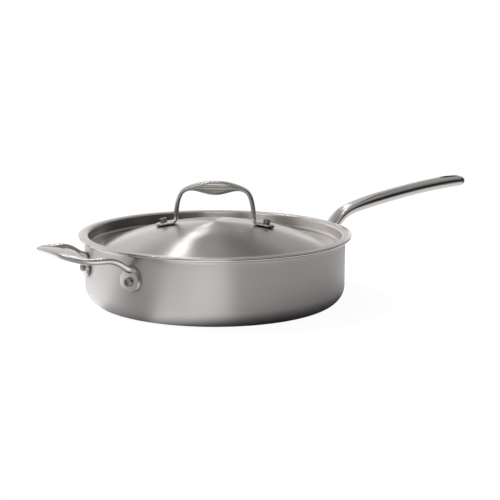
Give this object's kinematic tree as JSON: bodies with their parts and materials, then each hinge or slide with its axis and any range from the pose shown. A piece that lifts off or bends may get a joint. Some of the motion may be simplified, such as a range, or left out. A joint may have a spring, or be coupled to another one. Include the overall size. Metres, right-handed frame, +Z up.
{
  "type": "saute pan with lid",
  "caption": "Straight-walled stainless saute pan with a rolled-out lip, a long riveted stick handle, a riveted helper loop and an inset domed lid with an arched handle.",
  "frame": {"origin": "centre of the pan's base, on the surface it stands on", "axes": "+Z up, +X along the stick handle, helper loop towards -X"},
  "size_m": [0.5742, 0.294, 0.13],
  "materials": {
    "brushed_sheet": "satin, brushed round the wall",
    "spun_sheet": "satin, brushed in circles",
    "cast_steel": "polished casting",
    "rivet_steel": "polished"
  },
  "bodies": {
    "pan": {"pan_body": "brushed_sheet", "stick_handle": "cast_steel", "stick_rivet_far": "rivet_steel", "stick_rivet_near": "rivet_steel", "stick_rivet_low": "rivet_steel", "helper_handle": "cast_steel", "helper_rivet_far": "rivet_steel", "helper_rivet_near": "rivet_steel"},
    "lid": {"lid_shell": "spun_sheet", "lid_handle": "cast_steel", "lid_rivet_near": "rivet_steel", "lid_rivet_far": "rivet_steel"}
  },
  "joints": [
    {"name": "lid_lift", "type": "slide", "parent": "pan", "child": "lid", "axis": [0, 0, 1], "range_m": [0, 0.12]}
  ]
}
